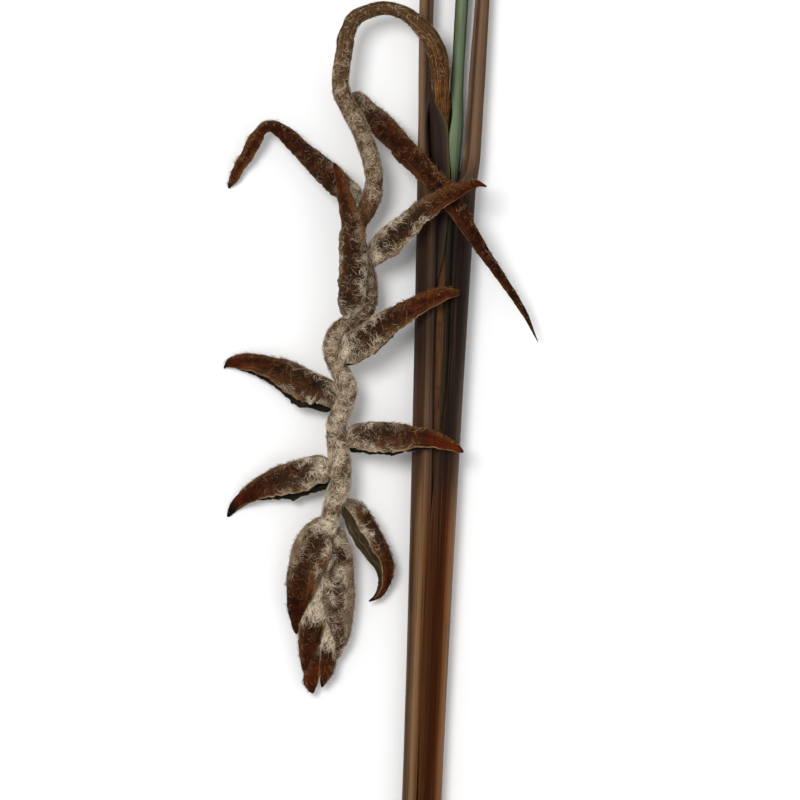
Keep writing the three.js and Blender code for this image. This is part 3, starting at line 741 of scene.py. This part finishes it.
def add_stalk():
    """The furrowed stalk. Its lower cut has no end face, so the tube is open there.

    Returns its grid, its normals, the distance run from the parting, and how woolly and how orange it is.
    """
    rings = stalk_rings("flower_stalk")
    middle = rings.mean(1)
    run = np.concatenate([[0], np.cumsum(np.linalg.norm(np.diff(middle, axis=0), axis=1))])
    parting = run[np.argmin(abs(middle[:, 1] - PARTING))]
    places = np.concatenate([np.linspace(0, parting, STALK_ROWS_INSIDE)[:-1],
                             np.arange(parting, run[-1] - 0.2 * MM, STALK_PITCH), run[-1:]])
    t = np.interp(places, run, np.arange(len(run)))
    wide = read_at(rings, t)
    columns = STALK_COLUMNS
    padded = np.concatenate([wide[:, -2:], wide, wide[:, :3]], axis=1)
    turns = np.linspace(0, wide.shape[1], columns, endpoint=False) + 2
    grid = read_across(padded, np.tile(turns, (len(t), 1)))
    normal = normals_of(grid, closed=True)
    s = (places - parting)[:, None].repeat(columns, 1)
    angle = np.linspace(0, 2 * math.pi, columns, endpoint=False)[None].repeat(len(t), 0)
    circle = 7 * np.cos(angle), 7 * np.sin(angle)
    furrow = noise(np.stack([*circle, s / MM * 0.07], axis=-1), 2.6, 3, 3)
    lump = noise(np.stack([*circle, s / MM], axis=-1), 7.0, 8, 3)
    # nearly bare and orange by the parting and again between 0.37 and 0.42, woolliest at the bud
    bare = smooth(0.36, 0.372, s) * smooth(0.43, 0.41, s)
    wool = 0.1 + 0.5 * smooth(0.2, 0.3, s) * (1 - 0.8 * bare) + 0.4 * smooth(0.48, 0.6, s)
    wool = np.clip(wool * (0.85 + 0.5 * lump) * smooth(0.05, 0.12, s), 0, 1)
    orange = np.clip(smooth(0.17, 0.08, s) + 0.75 * bare + 0.15 * smooth(0.5, 0.62, s), 0, 1)
    grown = smooth(0, 0.01, s)
    deep = 0.5 + 0.45 * smooth(0.28, 0.2, s)
    grid = grid + normal * (grown * MM * (deep * furrow + 0.6 * lump))[..., None]
    ahead = unit(grid[-3].mean(0) - grid[-16].mean(0))
    grid = grid + ahead * (STALK_END * smooth(s[-1, 0] - 0.014, s[-1, 0], s))[..., None]
    points = grid.reshape(-1, 3)
    faces = tube_faces(len(t), columns)
    faces = np.concatenate([faces[:, [0, 1, 2]], faces[:, [0, 2, 3]]])
    values = {"run": s, "round": angle, "wool": wool, "orange": orange}
    made = mesh_object("flower_stalk_look", points, outwards(points, faces), [SKIN["stalk"]], values=values)
    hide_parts("flower_stalk")
    return grid, normal, s, wool, orange


def add_stalk_wool(stalk, normal, run, wool, orange):
    """The stalk's hair in three pieces, thicker towards the bud."""
    tufts = smooth(-0.3, 0.5, noise(stalk / MM, 3.4, 71, 2))
    density = wool * (0.12 + tufts) + 0.03
    bright = 0.38 + 0.55 * tufts * wool**0.5
    felt = (0.3 + 0.5 * orange) * smooth(0.56, 0.46, run)
    first = np.flatnonzero(run[:, 0] > 0.06)[0]
    cuts = np.linspace(first, len(stalk) - 3, 4).astype(int)
    for k, (count, stray) in enumerate(((1000, 0.35), (3600, 1.2), (6800, 1.1))):
        part = slice(cuts[k], cuts[k + 1] + 1)
        fuzz = add_strands(f"flower_stalk_wool_{k + 1}", stalk[part], normal[part], density[part],
                           SKIN["wool"], 40 + k, count, length=(3 * MM, 9 * MM),
                           radius=(0.1 * MM, 0.32 * MM), lift=(0.2 * MM, (1.3 + 0.5 * k) * MM),
                           tints={"bright": bright[part], "felt": felt[part]},
                           closed=True, heading=(0.0, stray))


add_stalk_wool(*add_stalk())


# ---- Bracts ----
# wool: how far the pale wool reaches from the base, and how thick it is. face: how much of it lies between
# the edges. felt: how strong the orange felt on the keel is, and where along the bract it starts and ends.
# belly: the same for the tan band by the front lip. rust, rim and olive: how rusty the skin, how pale the
# front lip and how olive the inner face is. char: where the burnt tip starts. hairs: how many. comb: hairs
# lie along the bract and stray this much. trim: how much of the hidden back lobe is missing, and reach: how
# much wider the front lip is, in steps of the CAD ring. base: mm that the base grows into the stalk.
# blunt and hook: how blunt the dry tip is, and where it bends to, in mm.
BRACTS = {
    "bract_01": dict(wool=(0.1, 0.45), felt=(0.3, 0.0, 0.45), rust=0.12, hairs=700, trim=1.3, blunt=0.1,
                     belly=(0.25, 0.0, 1.0), rim=0.15),
    "bract_02": dict(wool=(0.35, 0.55), felt=(0.5, 0.6, 1.0), rust=0.2, hairs=800, trim=1.2,
                     belly=(0.7, 0.62, 1.0), rim=0.3),
    "bract_03": dict(wool=(0.75, 0.9), felt=(0.75, 0.5, 1.0), rust=0.4, hairs=1200, trim=1.0, rim=0.3),
    "bract_04": dict(wool=(0.6, 1.25), felt=(0.95, 0.5, 0.85), rust=0.4, hairs=1300, trim=1.1,
                     belly=(0.5, 0.1, 0.7), rim=0.3, hook=(0.5, -4)),
    "bract_05": dict(wool=(0.5, 1.0), felt=(0.9, 0.5, 1.0), rust=0.4, hairs=1100, trim=0.25,
                     belly=(0.5, 0.2, 0.9), rim=0.4),
    "bract_06": dict(wool=(0.55, 0.75), felt=(0.6, 0.4, 0.95), rust=0.3, hairs=1100, trim=-0.12,
                     belly=(0.5, 0.2, 0.8), rim=0.4, hook=(3, -4), char=0.93),
    "bract_07": dict(wool=(0.55, 1.0), felt=(0.6, 0.4, 0.8), rust=0.9, hairs=1000, trim=-0.05,
                     belly=(0.8, 0.05, 0.6), rim=0.7),
    "bract_08": dict(wool=(0.5, 1.3), felt=(0.8, 0.3, 0.75), rust=0.35, hairs=1200, trim=-0.2,
                     belly=(0.3, 0.1, 0.6), rim=0.8, char=0.84),
    "bract_09": dict(wool=(0.5, 1.3), felt=(0.75, 0.1, 0.8), rust=0.5, hairs=1000, trim=0.0, olive=1.0,
                     belly=(0.6, 0.1, 0.9), rim=0.6, base=5, hook=(-5, 0)),
    "bract_10": dict(wool=(0.5, 1.0), felt=(0.4, 0.1, 0.6), rust=0.15, hairs=2100, trim=0.3, base=7,
                     belly=(0.8, 0.2, 0.7), rim=0.2, reach=0.15),
    "bract_11": dict(wool=(0.9, 1.3), felt=(0.4, 0.2, 0.9), rust=0.2, hairs=2000, trim=0.3, base=7,
                     rim=0.3, reach=0.3, face=0.45),
    "bract_12": dict(wool=(0.5, 2.2), felt=(0.3, 0.6, 1.0), rust=0.15, hairs=2200, trim=0.0, base=4,
                     comb=0.3, reach=0.35, face=0.9),
    "bract_13": dict(wool=(0.55, 2.2), felt=(0.3, 0.6, 1.0), rust=0.3, hairs=1300, trim=0.0, base=4,
                     comb=0.3, reach=0.5, face=0.8),
    "bract_14": dict(wool=(0.2, 0.4), felt=(0.4, 0.2, 1.0), rust=0.6, hairs=160, trim=0.0, reach=0.3),
}
RING_POWER = 1.35  # the CAD rings crowd towards the base by this power
BRACT_PITCH = 0.6 * MM
BRACT_COLUMNS = 64


def bract_faces(node, look, seed):
    """A bract's length, u and share over its grid, smooth places in mm, outer face, normals and inner face.

    u runs from the base (0) to the tip (1), and share from the front lip (0) over the keel to the back (1).
    """
    rings = bract_rings(node)
    n = rings.shape[1] // 2
    length = path_length(rings.mean(1))
    rows, columns = max(90, int(length / BRACT_PITCH)), BRACT_COLUMNS
    u = np.linspace(0, 1, rows)
    rings = read_at(rings, (len(rings) - 1) * u ** (1 / RING_POWER))
    # the dry tip is blunt and may bend to one side
    near_tip = np.clip((1 - u) / 0.11, 1e-3, 1) ** -look.get("blunt", 0.42)
    middle = rings.mean(1, keepdims=True)
    rings = middle + (rings - middle) * near_tip[:, None, None]
    hook = np.array([*look.get("hook", (0, 0)), 0]) * MM
    rings = rings + hook * (smooth(0.9, 1.02, u) ** 2)[:, None, None]

    def wavy(offset, size, seed, octaves=3):
        line = np.stack([u * length / MM, 0 * u + offset, 0 * u], axis=-1)
        return noise(line, size, seed, octaves)

    # ragged lips
    body = smooth(0, 0.05, u) * smooth(1, 0.96, u)
    front = 0.24 * wavy(3, 12, seed) + 0.08 * wavy(9, 2.2, seed + 1, 2)
    front = body * (0.1 - look.get("reach", 0) + front)
    back = 0.2 + look["trim"] + 0.5 * smooth(0.5, 0.8, u)
    back = body * (back + 0.3 * wavy(5, 13, seed + 2) + 0.1 * wavy(7, 2.4, seed + 3, 2))
    share = np.linspace(0, 1, columns)[None].repeat(rows, 0)
    start = np.clip(front, -0.75, 0.9)[:, None]
    stop = np.clip(n - 1 - back, n - 2.8, n - 0.6)[:, None]
    outer = read_across(rings[:, :n], start + (stop - start) * share)
    normal = normals_of(outer)
    place = outer / MM
    # lengthwise veins, dents and a sharper keel
    u = u[:, None].repeat(columns, 1)
    veins = np.stack([share * 34, u * length / MM * 0.09, 0 * share + seed], axis=-1)
    relief = 0.42 * noise(veins, 2.3, seed + 4, 3) + 0.9 * noise(place, 15, seed + 5, 3)
    keel = np.exp(-(((share - 0.5) / 0.035) ** 2))
    thin = smooth(0, 0.1, u) * smooth(1, 0.85, u)
    outer = outer + normal * (MM * (thin * (relief + 0.8 * keel) + 0.2 * relief))[..., None]
    # the base grows out of the stalk
    away = unit(rings[8].mean(0) - rings[0].mean(0))
    outer = outer - away * (look.get("base", 2.8) * MM * smooth(0.12, 0, u))[..., None]
    normal = normals_of(outer)
    inset = np.minimum(share, 1 - share)
    wall = MM * (0.45 + 0.8 * smooth(0, 0.25, inset)) * np.clip(8 * np.minimum(u, 1 - u), 0.02, 1)
    return length, u, share, place, outer, normal, outer - normal * wall[..., None]


def on_both(outer, inner=0.0):
    """A field over a bract's whole skin, from its outer face and from a number or field for the inner one."""
    return np.concatenate([outer, 0 * outer + inner], axis=1)


def bract_tints(look, u, share, patch):
    """How strong each colour of the outer face is, and the numbers for the whole skin."""
    reach, thick = look["wool"]
    upper = look.get("face", 0.24) + 0.85 * smooth(0.28, 0.45, share) + 0.75 * smooth(0.13, 0.03, share)
    wool = thick * smooth(reach + 0.2, reach - 0.2, u + 0.2 * patch) * upper
    wool = np.clip(wool * (0.8 + 0.9 * patch) + 0.75 * thick * smooth(0.2, 0.02, u), 0, 1)
    strength, low, high = look["felt"]
    felt = strength * np.exp(-(((share - 0.48) / 0.13) ** 2)) * smooth(low - 0.1, low + 0.1, u)
    felt = np.clip(felt * smooth(high + 0.08, high - 0.08, u) * (0.9 + 0.5 * patch), 0, 1)
    strength, low, high = look.get("belly", (0.2, 0.2, 0.9))
    belly = strength * smooth(0.22, 0.04, share + 0.06 * patch) * smooth(low - 0.08, low + 0.08, u)
    belly = np.clip(belly * smooth(high + 0.08, high - 0.08, u), 0, 1)
    rust = look["rust"] * smooth(reach - 0.15, min(reach + 0.4, 0.95), u) * (0.9 + 0.4 * patch)
    rim = look.get("rim", 0.3) * smooth(0.03, 0.008, share) * smooth(0.03, 0.1, u)
    rim = np.clip(rim * (0.8 + 0.6 * patch), 0, 1)
    burnt = look.get("char", 0.965)
    char = smooth(burnt, 0.5 * burnt + 0.512, u + 0.02 * patch)
    return wool, felt, {
        "along": on_both(u, u), "across": on_both(share, share[:, ::-1]), "wool": on_both(wool),
        "felt": on_both(felt), "belly": on_both(belly), "rust": on_both(np.clip(rust, 0, 1)),
        "inner": on_both(0 * share, 1.0), "olive": on_both(0 * share, look.get("olive", 0.0)),
        "rim": on_both(rim), "char": on_both(char, char),
    }


def add_bract(node, look, seed):
    length, u, share, place, outer, normal, inner = bract_faces(node, look, seed)
    grid = np.concatenate([outer, inner[:, ::-1]], axis=1)
    grid[..., 2] = np.maximum(grid[..., 2], LEAST_HEIGHT)
    points = grid.reshape(-1, 3)
    wool, felt, values = bract_tints(look, u, share, noise(place, 8, seed + 6, 3))
    faces = outwards(points, tube_faces(*grid.shape[:2]))
    made = mesh_object(node + "_look", points, faces, [SKIN["bract"]], values=values)
    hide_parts(node)

    hairy = slice(2, -4)
    if "comb" in look:
        tufts, combed = 1.0, dict(heading=(0.0, look["comb"]), curl=0.5)
    else:
        tufts, combed = smooth(-0.3, 0.55, noise(place, 6, seed + 7, 2)), dict(curl=1.0)
    density = (wool * (0.25 + tufts) + 0.12 * felt + 0.02) * smooth(0.0, 0.07, share)
    stray = smooth(0.3, 0.05, wool)  # the few hairs beyond the wool are the colour of felt
    tints = {"felt": np.clip(1.4 * felt + stray, 0, 1)[hairy],
             "bright": np.clip(1.25 * wool * (0.45 + 0.7 * tufts), 0, 1)[hairy]}
    fuzz = add_strands(node + "_wool", outer[hairy], normal[hairy], density[hairy], SKIN["bract_wool"],
                       seed, int(1.25 * look["hairs"]), length=(3.5 * MM, 9 * MM),
                       radius=(0.08 * MM, 0.23 * MM), lift=(0.12 * MM, 1.5 * MM), tints=tints, **combed)

    # short orange felt that stands up along the keel
    edge = (felt + 0.12) * np.exp(-(((share - 0.5) / 0.16) ** 2))
    count = int(150 + 900 * look["felt"][0] * length / 0.11)
    tints = {"felt": np.clip(0.55 + 0.8 * felt[hairy], 0, 1),
             "bright": np.clip(0.3 + 0.6 * wool[hairy], 0, 1)}
    bristle = add_strands(node + "_felt", outer[hairy], normal[hairy], edge[hairy], SKIN["bract_wool"],
                          seed + 1, count, length=(2.2 * MM, 5.2 * MM), radius=(0.1 * MM, 0.2 * MM),
                          lift=(0.5 * MM, 3.2 * MM), tints=tints, curl=0.8, points=4)


for number, (node, look) in enumerate(BRACTS.items()):
    add_bract(node, look, 100 + 20 * number)


# ---- Floor, light and camera ----
FLOOR_HALF = 12.0
SENSOR = 36.0
CAMERA_DISTANCE = 4.0
VIEW_WIDTH = 0.68  # what the camera shows across at the plant's middle height
MIDDLE_HEIGHT = 0.028


def add_stage():
    mesh = bpy.data.meshes.new("floor")
    half = FLOOR_HALF
    mesh.from_pydata([(-half, -half, 0), (half, -half, 0), (half, half, 0), (-half, half, 0)], [],
                     [(0, 1, 2, 3)])
    g = Graph("floor_paper")
    mesh.materials.append(g.finish(rgb(250, 250, 250), 0.9, 0.1))
    floor = bpy.data.objects.new("floor", mesh)
    bpy.context.scene.collection.objects.link(floor)


def add_light(name, place, size, power):
    """A soft round light that looks at the origin."""
    data = bpy.data.lights.new(name, "AREA")
    data.shape = "DISK"
    data.size = size
    data.energy = power
    light = bpy.data.objects.new(name, data)
    light.location = place
    aim = -light.location
    light.rotation_mode = "QUATERNION"
    light.rotation_quaternion = aim.to_track_quat("-Z", "Y")
    bpy.context.scene.collection.objects.link(light)


def add_camera():
    """A camera straight above, with the stem upright in the picture."""
    data = bpy.data.cameras.new("camera")
    data.sensor_width = SENSOR
    data.lens = SENSOR * CAMERA_DISTANCE / VIEW_WIDTH
    data.clip_end = 50
    camera = bpy.data.objects.new("camera", data)
    camera.location = (0.01785, 0.019, MIDDLE_HEIGHT + CAMERA_DISTANCE)
    bpy.context.scene.collection.objects.link(camera)
    bpy.context.scene.camera = camera


add_stage()
add_light("key", (-0.9, 0.9, 2.9), 1.3, 56)
add_light("fill", (1.6, -0.8, 2.4), 2.4, 10)
add_camera()

scene = bpy.context.scene
scene.view_settings.view_transform = "Standard"
world = bpy.data.worlds.new("studio")
world.use_nodes = True
world.node_tree.nodes["Background"].inputs[0].default_value = (1, 1, 1, 1)
world.node_tree.nodes["Background"].inputs[1].default_value = 0.58
scene.world = world
